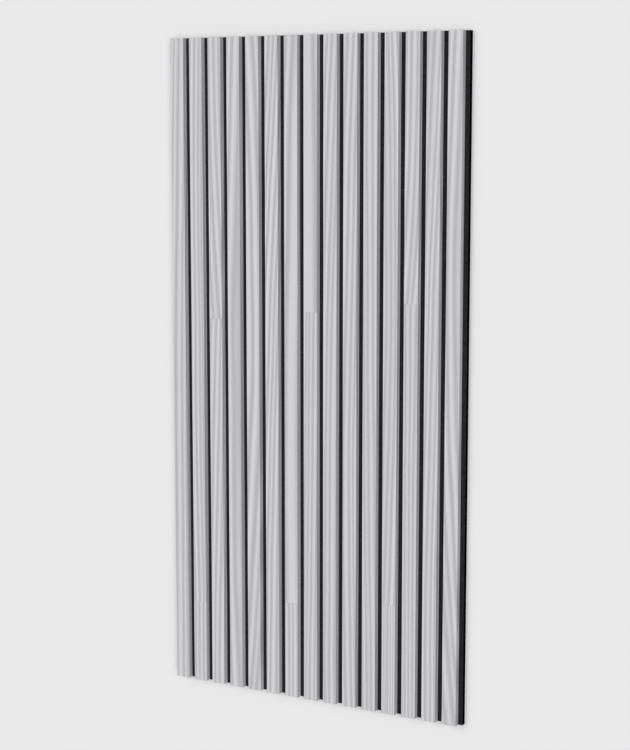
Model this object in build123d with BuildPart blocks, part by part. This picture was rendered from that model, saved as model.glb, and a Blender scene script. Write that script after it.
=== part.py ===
"""Acoustic slat panel: fifteen wood-grain slats glued to a sheet of felt.

Millimetres. The panel lies on its felt back with the slats up: X runs across the slats,
Y along them and Z up. The origin is the middle of the felt's back face.
"""

import os

from build123d import *

# Slats
slat_count = 15
slat_width = 27.0
slat_thickness = 11.0
slat_gap = 13.0
slat_edge_radius = 0.6

# Felt sheet, which shows between the slats and beyond the outer two
felt_thickness = 9.0
felt_left_margin = 4.5
felt_right_margin = 8.5

# Slats and felt are cut to one length, flush at both ends
panel_length = 1200.0

# Places worked out from the sizes above
slat_pitch = slat_width + slat_gap
slats_across = slat_count * slat_width + (slat_count - 1) * slat_gap
felt_width = felt_left_margin + slats_across + felt_right_margin
first_slat_center = felt_left_margin + slat_width / 2 - felt_width / 2

os.makedirs("parts", exist_ok=True)

# Felt backing: one flat sheet, cut square on every side
with BuildPart() as felt_backing:
    with BuildSketch(Plane.XY):
        Rectangle(felt_width, panel_length)
    extrude(amount=felt_thickness)

felt_backing.part.label = "felt_backing"
export_step(felt_backing.part, "parts/felt_backing.step")

# Slats: each one a bar with a square foot on the felt and two eased long edges on its face
for slat_number in range(1, slat_count + 1):
    slat_center = first_slat_center + (slat_number - 1) * slat_pitch
    slat_end_plane = Plane(
        origin=(slat_center, panel_length / 2, felt_thickness),
        x_dir=(-1, 0, 0),
        z_dir=(0, 1, 0),
    )
    with BuildPart() as slat:
        with BuildSketch(slat_end_plane):
            Rectangle(slat_width, slat_thickness, align=(Align.CENTER, Align.MIN))
        extrude(amount=-panel_length)
        face_edges = slat.edges().filter_by(Axis.Y).group_by(Axis.Z)[-1]
        fillet(face_edges, radius=slat_edge_radius)

    slat_name = f"slat_{slat_number:02d}"
    slat.part.label = slat_name
    export_step(slat.part, f"parts/{slat_name}.step")
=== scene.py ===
"""Looks of an acoustic slat panel: grey wood-grain slats on a sheet of black felt.

The panel lies flat with its slats up, X across them and Y along them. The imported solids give
every size and place. The slats and the felt are modelled again inside those solids with their
fine relief, then dressed and lit. Lengths are in metres, apart from those of the grain, the
finishes and the felt's lumps, which are in millimetres.
"""

import logging
import math
from collections.abc import Callable
from dataclasses import dataclass
from enum import Enum, IntEnum
from typing import ClassVar

import bmesh
import bpy
from mathutils import Matrix, Vector


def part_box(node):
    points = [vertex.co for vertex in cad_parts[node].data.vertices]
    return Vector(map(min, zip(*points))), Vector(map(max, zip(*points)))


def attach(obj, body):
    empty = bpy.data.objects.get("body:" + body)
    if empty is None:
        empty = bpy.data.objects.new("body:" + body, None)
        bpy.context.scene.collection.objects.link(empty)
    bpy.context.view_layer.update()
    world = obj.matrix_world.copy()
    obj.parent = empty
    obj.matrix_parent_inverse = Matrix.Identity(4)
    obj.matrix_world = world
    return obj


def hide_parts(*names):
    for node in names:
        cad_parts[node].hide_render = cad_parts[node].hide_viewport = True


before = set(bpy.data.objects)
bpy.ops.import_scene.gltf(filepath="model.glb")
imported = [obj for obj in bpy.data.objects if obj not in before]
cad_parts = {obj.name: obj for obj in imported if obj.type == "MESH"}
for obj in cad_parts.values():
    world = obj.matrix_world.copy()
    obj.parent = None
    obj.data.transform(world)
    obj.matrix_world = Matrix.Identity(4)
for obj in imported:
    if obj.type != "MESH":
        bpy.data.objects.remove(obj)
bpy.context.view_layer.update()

log = logging.getLogger("slat_panel")

MM = 0.001
TOUCH = 0.1  # share of a small size within which two places count as one
PARALLEL = 0.99  # share of an edge's length that runs along its axis
NOISE_MIDDLE = 0.5
BODY = "root"

Socket = bpy.types.NodeSocket
Value = float | Socket
Paint = tuple[float, float, float, float]


class Slot(Enum):
    """The record's material slots."""

    FELT = "black_felt"
    WOOD = "grey_wood"


class Axis(IntEnum):
    """The panel's axes: across the slats, along them and up."""

    X = 0
    Y = 1
    Z = 2


def linear(level: float) -> float:
    """Turns one display level, 0 to 255, into a linear one."""
    share = level / 255
    return share / 12.92 if share <= 0.04045 else ((share + 0.055) / 1.055) ** 2.4


def paint(red: float, green: float, blue: float) -> Paint:
    """Turns display levels, 0 to 255, into a linear colour with full alpha."""
    return (linear(red), linear(green), linear(blue), 1.0)


class NodeGraph:
    """Short ways to add and join nodes in one shader or geometry tree."""

    def __init__(self, tree: bpy.types.NodeTree) -> None:
        """Keeps the tree that the nodes go into."""
        self.tree = tree

    def add(self, kind: str, **settings: object) -> bpy.types.Node:
        """Adds one node.

        Args:
            kind: Blender's name for the type of node.
            **settings: properties set on the new node.

        Returns:
            The new node.
        """
        node = self.tree.nodes.new(kind)
        for name, value in settings.items():
            setattr(node, name, value)
        return node

    def feed(self, socket: Socket, value: Value | Paint) -> None:
        """Links a socket to another one, or sets its number or colour.

        Args:
            socket: the input that is fed.
            value: a socket to link, or the number or colour to set.
        """
        if isinstance(value, Socket):
            self.tree.links.new(value, socket)
        else:
            socket.default_value = value

    def math(self, operation: str, *terms: Value) -> Socket:
        """Adds one sum on numbers.

        Args:
            operation: Blender's name for the sum.
            *terms: numbers or sockets, in the node's order.

        Returns:
            The socket that holds the result.
        """
        node = self.add("ShaderNodeMath", operation=operation)
        for socket, term in zip(node.inputs, terms):
            self.feed(socket, term)
        return node.outputs[0]

    def combine(self, x: Value, y: Value, z: Value) -> Socket:
        """Makes a vector of three numbers.

        Args:
            x: number or socket.
            y: number or socket.
            z: number or socket.

        Returns:
            The socket with the vector.
        """
        node = self.add("ShaderNodeCombineXYZ")
        for socket, term in zip(node.inputs, (x, y, z)):
            self.feed(socket, term)
        return node.outputs[0]

    def separate(self, vector: Socket) -> tuple[Socket, Socket, Socket]:
        """Splits a vector into its three numbers.

        Args:
            vector: the socket with the vector.

        Returns:
            The sockets with X, Y and Z.
        """
        node = self.add("ShaderNodeSeparateXYZ")
        self.feed(node.inputs[0], vector)
        return tuple(node.outputs)

    def scale(self, vector: Socket, factor: Value) -> Socket:
        """Makes a vector longer or shorter.

        Args:
            vector: the socket with the vector.
            factor: how many times as long it gets.

        Returns:
            The socket with the new vector.
        """
        node = self.add("ShaderNodeVectorMath", operation="SCALE")
        self.feed(node.inputs[0], vector)
        self.feed(node.inputs["Scale"], factor)
        return node.outputs[0]

    def noise(
        self, vector: Socket, detail: float = 2.0, rough: float = 0.5, distort: float = 0.0
    ) -> Socket:
        """Adds smooth noise of about one bump a unit.

        Args:
            vector: the place, already scaled to bumps.
            detail: how many finer layers are added.
            rough: how strong each finer layer is.
            distort: how far the bumps are pulled about.

        Returns:
            The socket with the noise, 0 to 1.
        """
        node = self.add("ShaderNodeTexNoise", noise_dimensions="3D")
        self.feed(node.inputs["Vector"], vector)
        settings = {"Scale": 1.0, "Detail": detail, "Roughness": rough, "Distortion": distort}
        for name, value in settings.items():
            node.inputs[name].default_value = value
        return node.outputs[0]

    def noise_line(self, place: Value, detail: float = 0.5) -> Socket:
        """Adds smooth noise along a line, of about one bump a unit.

        Args:
            place: the place on the line.
            detail: how many finer layers are added.

        Returns:
            The socket with the noise, 0 to 1.
        """
        node = self.add("ShaderNodeTexNoise", noise_dimensions="1D")
        self.feed(node.inputs["W"], place)
        for name, value in (("Scale", 1.0), ("Detail", detail)):
            node.inputs[name].default_value = value
        return node.outputs[0]

    def step(self, value: Value, low: float, high: float) -> Socket:
        """Adds a smooth rise from 0 to 1.

        Args:
            value: the number that rises.
            low: where the rise starts.
            high: where it ends.

        Returns:
            The socket with the rise.
        """
        node = self.add("ShaderNodeMapRange", interpolation_type="SMOOTHSTEP")
        for socket, term in zip(node.inputs, (value, low, high, 0.0, 1.0)):
            self.feed(socket, term)
        return node.outputs[0]

    def mix(
        self, kind: str, share: Value, first: Value | Paint, second: Value | Paint
    ) -> Socket:
        """Mixes two numbers or two colours.

        Args:
            kind: FLOAT for numbers or RGBA for colours.
            share: 0 for all of the first, 1 for all of the second.
            first: number, colour or socket.
            second: number, colour or socket.

        Returns:
            The socket with the mixture.
        """
        node = self.add("ShaderNodeMix", data_type=kind)
        inputs = {socket.name: socket for socket in node.inputs if socket.enabled}
        for name, term in (("Factor", share), ("A", first), ("B", second)):
            self.feed(inputs[name], term)
        return next(socket for socket in node.outputs if socket.enabled)


@dataclass(frozen=True)
class SlatPlace:
    """A point on a slat, in millimetres: right of its middle, up from it and over its face."""

    across: Socket
    along: Socket
    depth: Socket

    @classmethod
    def at(cls, graph: NodeGraph, point: Socket, middle: Vector) -> "SlatPlace":
        """Measures a point of the panel from the middle of a slat's face.

        Args:
            graph: where the nodes go.
            point: the point, in metres in the panel's frame.
            middle: the middle of the slat's face, in metres.

        Returns:
            The point on the slat.
        """
        parts = zip(graph.separate(point), middle)
        return cls(*(graph.math("MULTIPLY_ADD", part, 1 / MM, -zero / MM) for part, zero in parts))


@dataclass(frozen=True)
class Rings:
    """The rings at a point: their tone, 0 dark to 1 light, and the way right from the heart."""

    tone: Socket
    sideways: Socket


@dataclass(frozen=True)
class BoardCut:
    """How one length of a slat was sawn out of its log, in millimetres, seen from the slat's face.

    At the height peak over the slat's middle, the heart of the log runs heart_side to the right
    of it and heart_depth under the face. Going up the slat it moves to the right by lean a metre.
    Half a slat above and below the peak it is further to the right by bow and deeper by dip. It
    strays to and fro by wander, and the rings by warp of a ring. All the rings are drawn in by
    shift of a ring.
    """

    heart_side: float
    heart_depth: float
    ring_width: float
    seed: int
    lean: float = 0.0
    bow: float = 0.0
    dip: float = 0.0
    peak: float = 0.0
    shift: float = 0.0
    wander: float = 4.0
    warp: float = 0.5

    HALF_SLAT: ClassVar[float] = 600.0
    STRAY_LENGTH: ClassVar[float] = 520.0
    STRAY_SEED: ClassVar[float] = 5.3
    WARP_WIDTH: ClassVar[float] = 22.0
    WARP_LENGTH: ClassVar[float] = 340.0
    WARP_SEED: ClassVar[float] = 11.7
    SPREAD: ClassVar[float] = 0.6
    SPREAD_PACE: ClassVar[float] = 0.5
    SPREAD_SEED: ClassVar[float] = 7.9
    STRENGTH_PACE: ClassVar[float] = 0.45
    STRENGTH_SEED: ClassVar[float] = 3.1
    SWING_LEAST: ClassVar[float] = 0.14
    SWING_SPAN: ClassVar[float] = 0.5
    TONE_LEAST: ClassVar[float] = 0.3
    TONE_SPAN: ClassVar[float] = 0.4

    def rings(self, graph: NodeGraph, place: SlatPlace) -> Rings:
        """Adds the nodes of the growth rings.

        Args:
            graph: where the nodes go.
            place: the point on the slat.

        Returns:
            The rings at that point.
        """
        sideways, upward = self.to_heart(graph, place)
        square = graph.math("MULTIPLY", upward, upward)
        square = graph.math("MULTIPLY_ADD", sideways, sideways, square)
        radius = graph.math("SQRT", square)
        count = graph.math("MULTIPLY_ADD", radius, 1 / self.ring_width, self.shift)
        count = graph.math("MULTIPLY_ADD", self.warping(graph, place), self.warp, count)
        spread = graph.math("MULTIPLY_ADD", count, self.SPREAD_PACE, self.seed * self.SPREAD_SEED)
        count = graph.math("MULTIPLY_ADD", graph.noise_line(spread), self.SPREAD, count)
        pace = graph.math(
            "MULTIPLY_ADD", count, self.STRENGTH_PACE, self.seed * self.STRENGTH_SEED
        )
        strength = graph.noise_line(pace)
        wave = graph.math("SINE", graph.math("MULTIPLY", count, 2 * math.pi))
        reach = graph.math("MULTIPLY_ADD", strength, self.SWING_SPAN, self.SWING_LEAST)
        swing = graph.math("MULTIPLY", wave, reach)
        tone = graph.math("MULTIPLY_ADD", strength, self.TONE_SPAN, self.TONE_LEAST)
        return Rings(graph.math("ADD", tone, swing), sideways)

    def to_heart(self, graph: NodeGraph, place: SlatPlace) -> tuple[Socket, Socket]:
        """Measures how far a point lies from the heart of the log.

        Args:
            graph: where the nodes go.
            place: the point on the slat.

        Returns:
            The distances to the right of the heart and above it.
        """
        height = graph.math("SUBTRACT", place.along, self.peak)
        turn = graph.math(
            "MULTIPLY_ADD", height, self.bow / self.HALF_SLAT**2, self.lean * MM
        )
        heart = graph.math("MULTIPLY_ADD", height, turn, self.heart_side)
        stray = graph.noise_line(
            graph.math(
                "MULTIPLY_ADD", place.along, 1 / self.STRAY_LENGTH, self.seed * self.STRAY_SEED
            )
        )
        stray = graph.math("MULTIPLY_ADD", stray, self.wander, -self.wander / 2)
        sideways = graph.math("SUBTRACT", place.across, graph.math("ADD", heart, stray))
        sink = graph.math("MULTIPLY", height, self.dip / self.HALF_SLAT**2)
        depth = graph.math("MULTIPLY_ADD", height, sink, self.heart_depth)
        return sideways, graph.math("ADD", place.depth, depth)

    def warping(self, graph: NodeGraph, place: SlatPlace) -> Socket:
        """Adds the slow noise that warps the rings.

        Args:
            graph: where the nodes go.
            place: the point on the slat.

        Returns:
            The socket with the noise, 0 to 1.
        """
        along = graph.math(
            "MULTIPLY_ADD", place.along, 1 / self.WARP_LENGTH, self.seed * self.WARP_SEED
        )
        across = graph.math("MULTIPLY", place.across, 1 / self.WARP_WIDTH)
        depth = graph.math("MULTIPLY", place.depth, 1 / self.WARP_WIDTH)
        return graph.noise(graph.combine(across, along, depth), detail=1.0)


@dataclass(frozen=True)
class SlatGrain:
    """The grain of one slat: one board, or two spliced at a height over the slat's middle."""

    board: BoardCut
    lower_board: BoardCut | None = None
    splice: float = 0.0

    def rings(self, graph: NodeGraph, place: SlatPlace) -> Rings:
        """Adds the rings of the slat's one or two boards.

        Args:
            graph: where the nodes go.
            place: the point on the slat.

        Returns:
            The rings of the board that the point lies on.
        """
        upper = self.board.rings(graph, place)
        if self.lower_board is None:
            return upper
        lower = self.lower_board.rings(graph, place)
        above = graph.math("GREATER_THAN", place.along, self.splice)
        return Rings(
            graph.mix("FLOAT", above, lower.tone, upper.tone),
            graph.mix("FLOAT", above, lower.sideways, upper.sideways),
        )


# The slats from left to right
GRAINS = (
    SlatGrain(BoardCut(70, 60, 8.0, 1, lean=14, bow=4)),
    SlatGrain(
        BoardCut(-75, 50, 7.0, 2, lean=-4, bow=6),
        lower_board=BoardCut(-60, 40, 7.0, 16),
        splice=-447,
    ),
    SlatGrain(
        BoardCut(-44, 50, 9.5, 62, lean=-96, bow=29),
        lower_board=BoardCut(85, 60, 8.0, 17, lean=44, bow=11),
        splice=92,
    ),
    SlatGrain(BoardCut(5, 8, 14.0, 45, lean=5, bow=14, peak=-29, shift=0.45)),
    SlatGrain(BoardCut(-15, 4, 15.0, 86, lean=32, bow=-26, dip=3, peak=-78, shift=0.4)),
    SlatGrain(BoardCut(70, 60, 8.2, 6, lean=42, bow=10)),
    SlatGrain(
        BoardCut(2.7, 12, 12.0, 80, lean=12, bow=10, peak=40, shift=0.74),
        lower_board=BoardCut(80, 50, 7.5, 18),
        splice=-423,
    ),
    SlatGrain(
        BoardCut(-6, 63, 5.4, 8, lean=-4),
        lower_board=BoardCut(-90, 60, 6.6, 19, lean=10),
        splice=114,
    ),
    SlatGrain(BoardCut(50, 60, 7.4, 64, lean=20, bow=9)),
    SlatGrain(BoardCut(-60, 60, 7.0, 10, lean=10, bow=11)),
    SlatGrain(BoardCut(85, 60, 8.0, 11, lean=-11, bow=2)),
    SlatGrain(
        BoardCut(60, 60, 6.4, 12, lean=10, bow=-16),
        lower_board=BoardCut(-80, 40, 4.2, 20),
        splice=-399,
    ),
    SlatGrain(
        BoardCut(44, 60, 8.0, 13, lean=104, bow=-31),
        lower_board=BoardCut(20, 14, 5.6, 78, lean=-10, dip=3, peak=-600),
        splice=138,
    ),
    SlatGrain(BoardCut(-70, 60, 7.0, 14, lean=22, bow=8)),
    SlatGrain(BoardCut(11, 5, 13.5, 15, lean=-7, bow=26, peak=172, shift=0.5)),
)


@dataclass(frozen=True)
class GreyWood:
    """Matt light grey stained wood. Lengths are in millimetres."""

    light: Paint = paint(213, 213, 215)
    dark: Paint = paint(176, 176, 178)
    darkest: float = -0.3
    lightest: float = 1.1
    end_share: float = 0.35
    end_shade: Paint = paint(140, 139, 139)
    end_slope: tuple[float, float] = (0.6, 0.8)
    roughness: float = 0.55
    specular: float = 0.25
    fibre_width: float = 0.5
    fibre_length: float = 60.0
    fibre_tone: float = 0.55
    fibre_height: float = 0.06
    pore_width: float = 0.3
    pore_length: float = 9.0
    pore_tone: float = 0.35
    pore_edge: tuple[float, float] = (0.6, 0.72)
    streak_layers: float = 3.0
    streak_rough: float = 0.6
    joint_width: float = 0.35
    joint_tone: float = 0.55

    def material(self, name: str, grain: SlatGrain, middle: Vector) -> bpy.types.Material:
        """Makes the finish of one slat.

        Args:
            name: the material's name.
            grain: how the slat was sawn.
            middle: the middle of the slat's face, in metres.

        Returns:
            The material.
        """
        material = bpy.data.materials.new(name)
        material.use_nodes = True
        graph = NodeGraph(material.node_tree)
        shader = material.node_tree.nodes["Principled BSDF"]
        point = graph.add("ShaderNodeTexCoord").outputs["Object"]
        place = SlatPlace.at(graph, point, middle)
        rings = grain.rings(graph, place)
        fibre = self.streaks(graph, rings, place, self.fibre_width, self.fibre_length)
        pore = self.streaks(graph, rings, place, self.pore_width, self.pore_length)
        pore = graph.step(pore, *self.pore_edge)
        shade = graph.math("MULTIPLY_ADD", fibre, self.fibre_tone, -self.fibre_tone / 2)
        tone = graph.math("ADD", rings.tone, shade)
        tone = graph.math("SUBTRACT", tone, graph.math("MULTIPLY", pore, self.pore_tone))
        if grain.lower_board is not None:
            apart = graph.math("ABSOLUTE", graph.math("SUBTRACT", place.along, grain.splice))
            joint = graph.math("LESS_THAN", apart, self.joint_width / 2)
            tone = graph.math("SUBTRACT", tone, graph.math("MULTIPLY", joint, self.joint_tone))
        tone = graph.math("MAXIMUM", tone, self.darkest)
        tone = graph.math("MINIMUM", tone, self.lightest)
        colour = graph.mix("RGBA", tone, self.dark, self.light)
        _, endways, _ = graph.separate(graph.add("ShaderNodeNewGeometry").outputs["Normal"])
        end = graph.step(graph.math("ABSOLUTE", endways), *self.end_slope)
        end = graph.math("MULTIPLY", end, self.end_share)
        colour = graph.mix("RGBA", end, colour, self.end_shade)
        graph.feed(shader.inputs["Base Color"], colour)
        shader.inputs["Roughness"].default_value = self.roughness
        shader.inputs["Specular IOR Level"].default_value = self.specular
        bump = graph.add("ShaderNodeBump")
        bump.inputs["Distance"].default_value = self.fibre_height * MM
        graph.feed(bump.inputs["Height"], graph.math("SUBTRACT", fibre, pore))
        graph.feed(shader.inputs["Normal"], bump.outputs[0])
        return material

    def streaks(
        self, graph: NodeGraph, rings: Rings, place: SlatPlace, width: float, length: float
    ) -> Socket:
        """Adds streaks that run with the rings.

        Args:
            graph: where the nodes go.
            rings: the rings that they follow.
            place: the point on the slat.
            width: how wide a streak is.
            length: how long a streak is.

        Returns:
            The socket with the streaks, 0 to 1.
        """
        sideways = graph.math("MULTIPLY", rings.sideways, 1 / width)
        along = graph.math("MULTIPLY", place.along, 1 / length)
        depth = graph.math("MULTIPLY", place.depth, 1 / width)
        streak = graph.combine(sideways, along, depth)
        return graph.noise(streak, detail=self.streak_layers, rough=self.streak_rough)


@dataclass(frozen=True)
class BlackFelt:
    """Matt black needled polyester felt, with painted shade on its cut edges. Lengths are in
    millimetres.
    """

    dark: Paint = paint(22, 22, 23)
    light: Paint = paint(74, 74, 77)
    # The cut edges' two colours are painted shade: far darker than the face's, so that the felt's
    # sides look shaded
    painted_shade_cut_dark: Paint = paint(3, 3, 3)
    painted_shade_cut_light: Paint = paint(20, 20, 20)
    face_slope: tuple[float, float] = (0.3, 0.8)
    roughness: float = 0.95
    specular: float = 0.0
    loop: float = 2.6
    hair: float = 0.9
    lump: float = 9.0
    lump_tone: float = 0.5
    fibre_tone: float = 0.45
    base_tone: float = -0.05
    fibre_share: float = 0.045
    fibre_height: float = 0.25
    tangle: float = 1.5

    def material(self) -> bpy.types.Material:
        """Makes the felt's finish.

        Returns:
            The material.
        """
        material = bpy.data.materials.new("needled_felt")
        material.use_nodes = True
        graph = NodeGraph(material.node_tree)
        shader = material.node_tree.nodes["Principled BSDF"]
        point = graph.add("ShaderNodeTexCoord").outputs["Object"]
        loops, hairs = (self.fibres(graph, point, size) for size in (self.loop, self.hair))
        fibre = graph.math("MAXIMUM", loops, hairs)
        lump = graph.noise(graph.scale(point, 1 / (self.lump * MM)))
        share = graph.math("MULTIPLY_ADD", lump, self.lump_tone, self.base_tone)
        share = graph.math("MULTIPLY_ADD", fibre, self.fibre_tone, share)
        _, _, upward = graph.separate(graph.add("ShaderNodeNewGeometry").outputs["Normal"])
        flat = graph.step(graph.math("ABSOLUTE", upward), *self.face_slope)
        # Painted shade: the felt's sides, found by their normal, take the darker cut colours
        # instead of the face colours
        cut = graph.mix("RGBA", share, self.painted_shade_cut_dark, self.painted_shade_cut_light)
        face = graph.mix("RGBA", share, self.dark, self.light)
        graph.feed(shader.inputs["Base Color"], graph.mix("RGBA", flat, cut, face))
        shader.inputs["Roughness"].default_value = self.roughness
        shader.inputs["Specular IOR Level"].default_value = self.specular
        bump = graph.add("ShaderNodeBump")
        bump.inputs["Distance"].default_value = self.fibre_height * MM
        graph.feed(bump.inputs["Height"], fibre)
        graph.feed(shader.inputs["Normal"], bump.outputs[0])
        return material

    def fibres(self, graph: NodeGraph, point: Socket, loop: float) -> Socket:
        """Adds tangled fibres.

        Args:
            graph: where the nodes go.
            point: the point on the felt.
            loop: the size of a fibre's loops.

        Returns:
            The socket with the fibres, 1 on a fibre and 0 beside it.
        """
        place = graph.scale(point, 1 / (loop * MM))
        tangle = graph.noise(place, detail=1.0, distort=self.tangle)
        apart = graph.math("ABSOLUTE", graph.math("SUBTRACT", tangle, NOISE_MIDDLE))
        return graph.step(apart, self.fibre_share, 0.0)


class Workpiece:
    """A mesh piece that is shaped in edit mode, as on a bench."""

    def __init__(self, piece: bpy.types.Object) -> None:
        """Keeps the piece that is worked on."""
        self.piece = piece

    @classmethod
    def block(cls, name: str, low: Vector, high: Vector) -> "Workpiece":
        """Adds a block.

        Args:
            name: the piece's name.
            low: its lowest corner.
            high: its highest corner.

        Returns:
            The block, with its place in its mesh.
        """
        bpy.ops.object.select_all(action="DESELECT")
        bpy.ops.mesh.primitive_cube_add(size=1.0, location=(low + high) / 2)
        piece = bpy.context.object
        piece.name = piece.data.name = name
        piece.scale = high - low
        bpy.ops.object.transform_apply(location=True, rotation=True, scale=True)
        return cls(piece)

    def choose(self) -> None:
        """Makes the piece the only one that operators act on."""
        bpy.ops.object.select_all(action="DESELECT")
        self.piece.select_set(True)
        bpy.context.view_layer.objects.active = self.piece

    def copy(self, name: str, shift: Vector) -> "Workpiece":
        """Copies the piece to another place.

        Args:
            name: the copy's name.
            shift: the way from the piece to its copy.

        Returns:
            The copy, with its own mesh and its place in it.
        """
        self.choose()
        bpy.ops.object.duplicate(linked=False)
        bpy.ops.transform.translate(value=shift)
        bpy.ops.object.transform_apply(location=True, rotation=False, scale=False)
        piece = bpy.context.object
        piece.name = piece.data.name = name
        return Workpiece(piece)

    def discard(self) -> None:
        """Deletes the piece."""
        self.choose()
        bpy.ops.object.delete()

    def pick_edges(self, wanted: Callable[[Vector, Vector], bool]) -> None:
        """Selects the edges that pass a test.

        Args:
            wanted: test of an edge's two end points.
        """
        bpy.ops.mesh.select_mode(type="EDGE")
        bpy.ops.mesh.select_all(action="DESELECT")
        mesh = bmesh.from_edit_mesh(self.piece.data)
        for edge in mesh.edges:
            edge.select_set(wanted(edge.verts[0].co, edge.verts[1].co))
        bmesh.update_edit_mesh(self.piece.data)

    def divide(
        self, axis: Axis, cuts: int, inside: Callable[[Vector], bool] = lambda middle: True
    ) -> None:
        """Cuts the edges that run along one axis into equal lengths.

        Args:
            axis: the way that the edges run.
            cuts: new points on each edge.
            inside: test of an edge's middle.
        """

        def runs(start: Vector, end: Vector) -> bool:
            """Tells whether an edge runs along the axis, inside the place."""
            way = end - start
            return abs(way[axis]) > PARALLEL * way.length and inside((start + end) / 2)

        self.pick_edges(runs)
        bpy.ops.mesh.subdivide(number_cuts=cuts)

    def cut_across(self, axis: Axis, place: float) -> None:
        """Cuts the whole piece with a plane square to one axis.

        Args:
            axis: the axis that the plane is square to.
            place: where the plane crosses it.
        """
        square = Vector((0.0, 0.0, 0.0))
        square[axis] = 1.0
        bpy.ops.mesh.select_all(action="SELECT")
        bpy.ops.mesh.bisect(plane_co=square * place, plane_no=square)

    def displace(self, name: str, write: Callable[[NodeGraph, Socket, Socket], Socket]) -> None:
        """Moves the surface by a node tree and applies it.

        Args:
            name: the modifier's name.
            write: adds nodes that turn the point and its normal into the way that it moves.
        """
        tree = bpy.data.node_groups.new(name, "GeometryNodeTree")
        for way in ("INPUT", "OUTPUT"):
            tree.interface.new_socket("Geometry", in_out=way, socket_type="NodeSocketGeometry")
        graph = NodeGraph(tree)
        start = graph.add("NodeGroupInput")
        finish = graph.add("NodeGroupOutput")
        move = graph.add("GeometryNodeSetPosition")
        point = graph.add("GeometryNodeInputPosition").outputs[0]
        normal = graph.add("GeometryNodeInputNormal").outputs[0]
        graph.feed(move.inputs["Geometry"], start.outputs[0])
        graph.feed(move.inputs["Offset"], write(graph, point, normal))
        graph.feed(finish.inputs[0], move.outputs[0])
        self.choose()
        modifier = self.piece.modifiers.new(name, "NODES")
        modifier.node_group = tree
        bpy.ops.object.modifier_apply(modifier=name)
        bpy.data.node_groups.remove(tree)

    def smooth(self, degrees: float) -> None:
        """Shades the faces smooth, apart from edges sharper than an angle."""
        self.choose()
        bpy.ops.object.shade_smooth_by_angle(angle=math.radians(degrees))

    def declare(self, node: str, slot: Slot) -> None:
        """Puts the piece in the place of a solid, on the panel's body.

        Args:
            node: name of the solid.
            slot: not used.
        """
        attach(self.piece, BODY)
        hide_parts(node)


@dataclass
class SlatBlank:
    """A bare slat with two eased long edges, cut finely enough to carry the relief of its grain."""

    node: str = "slat_01"
    edge_radius: float = 0.6 * MM
    edge_steps: int = 3
    cuts_along: int = 99
    cuts_face: int = 32
    cuts_side: int = 9

    def build(self) -> Workpiece:
        """Models the bare slat at the place of its solid.

        Returns:
            The bare slat.
        """
        low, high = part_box(self.node)
        near = self.edge_radius * TOUCH
        blank = Workpiece.block("slat_blank", low, high)
        bpy.ops.object.mode_set(mode="EDIT")
        blank.pick_edges(
            lambda start, end: min(start.z, end.z) > high.z - near and abs(start.x - end.x) < near
        )
        bpy.ops.mesh.bevel(offset=self.edge_radius, segments=self.edge_steps, affect="EDGES")
        side_top = high.z - self.edge_radius - near
        blank.divide(Axis.X, self.cuts_face, lambda middle: middle.z > high.z - near)
        blank.divide(Axis.Z, self.cuts_side, lambda middle: middle.z < side_top)
        blank.divide(Axis.Y, self.cuts_along)
        bpy.ops.object.mode_set(mode="OBJECT")
        return blank


@dataclass
class Slat:
    """One slat of the panel, with its grain standing in low relief."""

    number: int
    grain: SlatGrain
    finish: GreyWood
    relief: float = 0.12 * MM
    foot_clear: tuple[float, float] = (0.5, 2.0)
    crease: float = 40.0

    @property
    def node(self) -> str:
        """Name of the slat's solid."""
        return f"slat_{self.number:02d}"

    @property
    def middle(self) -> Vector:
        """The middle of the slat's face."""
        low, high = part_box(self.node)
        return Vector(((low.x + high.x) / 2, (low.y + high.y) / 2, high.z))

    def build(self, blank: Workpiece, blank_node: str) -> None:
        """Copies the bare slat to its place, carves its grain and dresses it.

        Args:
            blank: the bare slat.
            blank_node: name of the solid at whose place it lies.
        """
        low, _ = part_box(self.node)
        blank_low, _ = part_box(blank_node)
        slat = blank.copy(f"grained_{self.node}", low - blank_low)
        slat.displace(f"grain_{self.number:02d}", self.write_relief)
        slat.smooth(self.crease)
        slat.declare(self.node, Slot.WOOD)
        self.dress(slat.piece)

    def write_relief(self, graph: NodeGraph, point: Socket, normal: Socket) -> Socket:
        """Sinks the dark rings a little, but neither the foot nor the ends.

        Args:
            graph: where the nodes go.
            point: the point on the slat.
            normal: the way that its surface faces.

        Returns:
            The way that the point moves.
        """
        place = SlatPlace.at(graph, point, self.middle)
        tone = graph.math("SUBTRACT", self.grain.rings(graph, place).tone, 1.0)
        tone = graph.math("MINIMUM", graph.math("MAXIMUM", tone, -1.0), 0.0)
        low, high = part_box(self.node)
        thickness = (high.z - low.z) / MM
        clear_of_foot = graph.step(
            place.depth, *(height - thickness for height in self.foot_clear)
        )
        x, _, z = graph.separate(normal)
        depth = graph.math("MULTIPLY", graph.math("MULTIPLY", tone, clear_of_foot), self.relief)
        return graph.scale(graph.combine(x, 0.0, z), depth)

    def dress(self, piece: bpy.types.Object) -> None:
        """Gives the slat its own wood.

        Args:
            piece: the slat's object.
        """
        name = f"grey_wood_{self.number:02d}"
        piece.data.materials.clear()
        piece.data.materials.append(self.finish.material(name, self.grain, self.middle))
        log.info("%s: %d faces", piece.name, len(piece.data.polygons))


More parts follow.
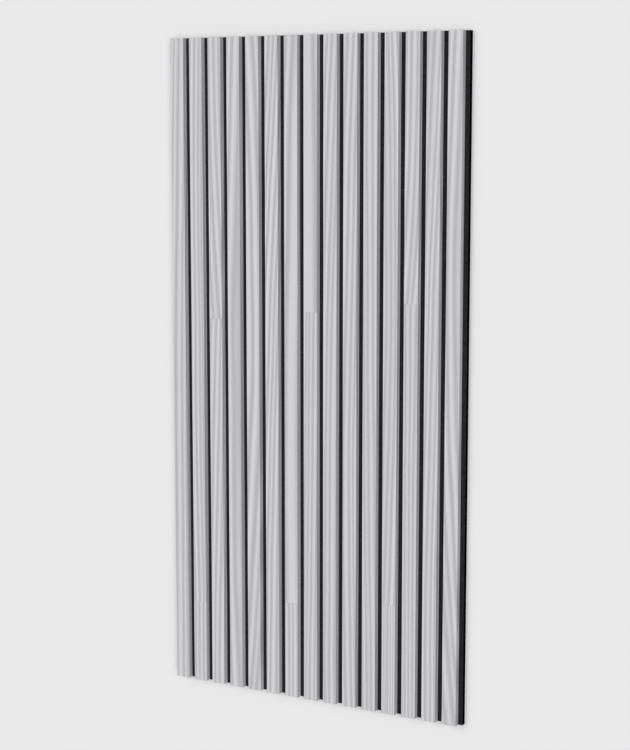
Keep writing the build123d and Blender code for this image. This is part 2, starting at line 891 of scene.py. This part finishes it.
@dataclass
class FeltSheet:
    """The felt that carries the slats, lumpy where it shows and frayed at its cut edges."""

    finish: BlackFelt
    slat_count: int
    node: str = "felt_backing"
    cuts_gap: int = 5
    cuts_edge: int = 5
    cuts_along: tuple[int, int] = (99, 2)
    relief: float = 0.35 * MM
    lump: float = 3.0
    layer: float = 1.3
    slat_clear: tuple[float, float] = (0.1, 1.0)
    back_clear: tuple[float, float] = (0.2, 1.0)
    crease: float = 60.0

    def build(self) -> None:
        """Models the felt in place of its solid and dresses it."""
        low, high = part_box(self.node)
        slats = [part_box(f"slat_{number:02d}") for number in range(1, self.slat_count + 1)]
        near = self.relief * TOUCH

        def shows(middle: Vector) -> bool:
            """Tells whether a point on top of the felt lies beside every slat."""
            return middle.z > high.z - near and not any(a.x < middle.x < b.x for a, b in slats)

        felt = Workpiece.block("needled_felt", low, high)
        bpy.ops.object.mode_set(mode="EDIT")
        for left, right in slats:
            felt.cut_across(Axis.X, left.x)
            felt.cut_across(Axis.X, right.x)
        felt.divide(Axis.X, self.cuts_gap, shows)
        felt.divide(Axis.Z, self.cuts_edge)
        for cuts in self.cuts_along:
            felt.divide(Axis.Y, cuts)
        bpy.ops.object.mode_set(mode="OBJECT")
        felt.displace("felt_relief", self.write_relief)
        felt.smooth(self.crease)
        felt.declare(self.node, Slot.FELT)
        self.dress(felt.piece)

    def write_relief(self, graph: NodeGraph, point: Socket, normal: Socket) -> Socket:
        """Roughens what shows of the felt, but neither its back nor what a slat covers.

        Args:
            graph: where the nodes go.
            point: the point on the felt.
            normal: the way that its surface faces.

        Returns:
            The way that the point moves.
        """
        first_low, first_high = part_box("slat_01")
        second_low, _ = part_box("slat_02")
        pitch = (second_low.x - first_low.x) / MM
        width = (first_high.x - first_low.x) / MM
        x, y, z = graph.separate(graph.scale(point, 1 / MM))
        turns = graph.math("MULTIPLY_ADD", x, 1 / pitch, -first_low.x / MM / pitch)
        across = graph.math("MULTIPLY", graph.math("FRACT", turns), pitch)
        covered, open_felt = self.slat_clear
        left_clear = graph.step(across, width + covered, width + open_felt)
        right_under = graph.step(across, pitch - open_felt, pitch - covered)
        bare = graph.math("MULTIPLY", left_clear, graph.math("SUBTRACT", 1.0, right_under))
        off_back = graph.step(z, *self.back_clear)
        sizes = ((x, self.lump), (y, self.lump), (z, self.layer))
        lumps = graph.noise(
            graph.combine(*(graph.math("MULTIPLY", part, 1 / size) for part, size in sizes))
        )
        depth = graph.math("MULTIPLY", graph.math("MULTIPLY", lumps, bare), off_back)
        return graph.scale(normal, graph.math("MULTIPLY", depth, -self.relief))

    def dress(self, piece: bpy.types.Object) -> None:
        """Gives the felt its finish.

        Args:
            piece: the felt's object.
        """
        piece.data.materials.clear()
        piece.data.materials.append(self.finish.material())
        log.info("%s: %d faces", piece.name, len(piece.data.polygons))


@dataclass
class Studio:
    """Pale floor and soft light."""

    floor_size: float = 60.0
    floor_level: float = 234.0
    floor_bounce: float = 130.0
    sky: float = 0.3
    key_from: tuple[float, float, float] = (-0.55, 0.35, 1.0)
    key_strength: float = 0.85
    key_angle: float = 40.0
    fill_from: tuple[float, float, float] = (0.65, 0.1, 1.0)
    fill_strength: float = 1.77
    fill_angle: float = 40.0

    def build(self) -> None:
        """Lays the floor, and sets the world and the lamps."""
        self.lay_floor()
        self.set_world()
        self.add_lamp("key", self.key_from, self.key_strength, self.key_angle)
        self.add_lamp("fill", self.fill_from, self.fill_strength, self.fill_angle)

    def seen(self, graph: NodeGraph) -> Socket:
        """Adds a switch for what the camera, a reflection or clear glass shows.

        Args:
            graph: where the nodes go.

        Returns:
            The socket with the switch, 1 for what is shown and 0 for what only sheds light.
        """
        path = graph.add("ShaderNodeLightPath").outputs
        shown = graph.math("MAXIMUM", path["Is Camera Ray"], path["Is Glossy Ray"])
        return graph.math("MAXIMUM", shown, path["Is Transmission Ray"])

    def lay_floor(self) -> None:
        """Lays a plain floor that looks pale and sends little light back."""
        bpy.ops.object.select_all(action="DESELECT")
        bpy.ops.mesh.primitive_plane_add(size=self.floor_size)
        floor = bpy.context.object
        floor.name = "floor"
        material = bpy.data.materials.new("pale_floor")
        material.use_nodes = True
        graph = NodeGraph(material.node_tree)
        shader = material.node_tree.nodes["Principled BSDF"]
        tones = (paint(*[level] * 3) for level in (self.floor_bounce, self.floor_level))
        graph.feed(shader.inputs["Base Color"], graph.mix("RGBA", self.seen(graph), *tones))
        shader.inputs["Roughness"].default_value = 1.0
        shader.inputs["Specular IOR Level"].default_value = 0.0
        floor.data.materials.append(material)

    def set_world(self) -> None:
        """Lights the panel from all round, and shows the floor's own tone behind it."""
        world = bpy.data.worlds.new("studio")
        bpy.context.scene.world = world
        world.use_nodes = True
        graph = NodeGraph(world.node_tree)
        light = world.node_tree.nodes["Background"]
        light.inputs["Color"].default_value = (1.0, 1.0, 1.0, 1.0)
        light.inputs["Strength"].default_value = self.sky
        backdrop = graph.add("ShaderNodeBackground")
        backdrop.inputs["Color"].default_value = paint(*[self.floor_level] * 3)
        mixed = graph.add("ShaderNodeMixShader")
        terms = (self.seen(graph), light.outputs[0], backdrop.outputs[0])
        for socket, value in zip(mixed.inputs, terms):
            graph.feed(socket, value)
        graph.feed(world.node_tree.nodes["World Output"].inputs["Surface"], mixed.outputs[0])

    def add_lamp(
        self, name: str, source: tuple[float, float, float], strength: float, angle: float
    ) -> None:
        """Adds one soft far lamp.

        Args:
            name: the lamp's name.
            source: direction towards the lamp.
            strength: light that it sheds.
            angle: how wide it looks, in degrees.
        """
        data = bpy.data.lights.new(name, "SUN")
        data.energy = strength
        data.angle = math.radians(angle)
        lamp = bpy.data.objects.new(name, data)
        lamp.rotation_mode = "QUATERNION"
        lamp.rotation_quaternion = Vector(source).to_track_quat("Z", "Y")
        bpy.context.scene.collection.objects.link(lamp)


@dataclass
class PhotoCamera:
    """The camera, high over the panel's right side, with the slats upright in the picture."""

    place: tuple[float, float, float] = (1.5681, 0.4412, 2.7433)
    aim: tuple[float, float, float] = (0.0081, 0.0021, 0.020)
    lens: float = 85.28
    sensor: float = 36.0

    def build(self) -> None:
        """Adds the camera and makes it the scene's own."""
        data = bpy.data.cameras.new("photo_camera")
        data.lens = self.lens
        data.sensor_width = self.sensor
        camera = bpy.data.objects.new("photo_camera", data)
        back = (Vector(self.place) - Vector(self.aim)).normalized()
        right = Vector((0.0, 1.0, 0.0)).cross(back).normalized()
        turn = Matrix((right, back.cross(right), back)).transposed().to_4x4()
        camera.matrix_world = Matrix.Translation(self.place) @ turn
        bpy.context.scene.collection.objects.link(camera)
        bpy.context.scene.camera = camera


def main() -> None:
    """Builds and dresses the panel, then its light and camera."""
    logging.basicConfig(level=logging.INFO)
    FeltSheet(BlackFelt(), len(GRAINS)).build()
    pattern = SlatBlank()
    blank = pattern.build()
    for number, grain in enumerate(GRAINS, start=1):
        Slat(number, grain, GreyWood()).build(blank, pattern.node)
    blank.discard()
    Studio().build()
    PhotoCamera().build()
    bpy.context.scene.view_settings.view_transform = "Standard"


if __name__ == "__main__":
    main()
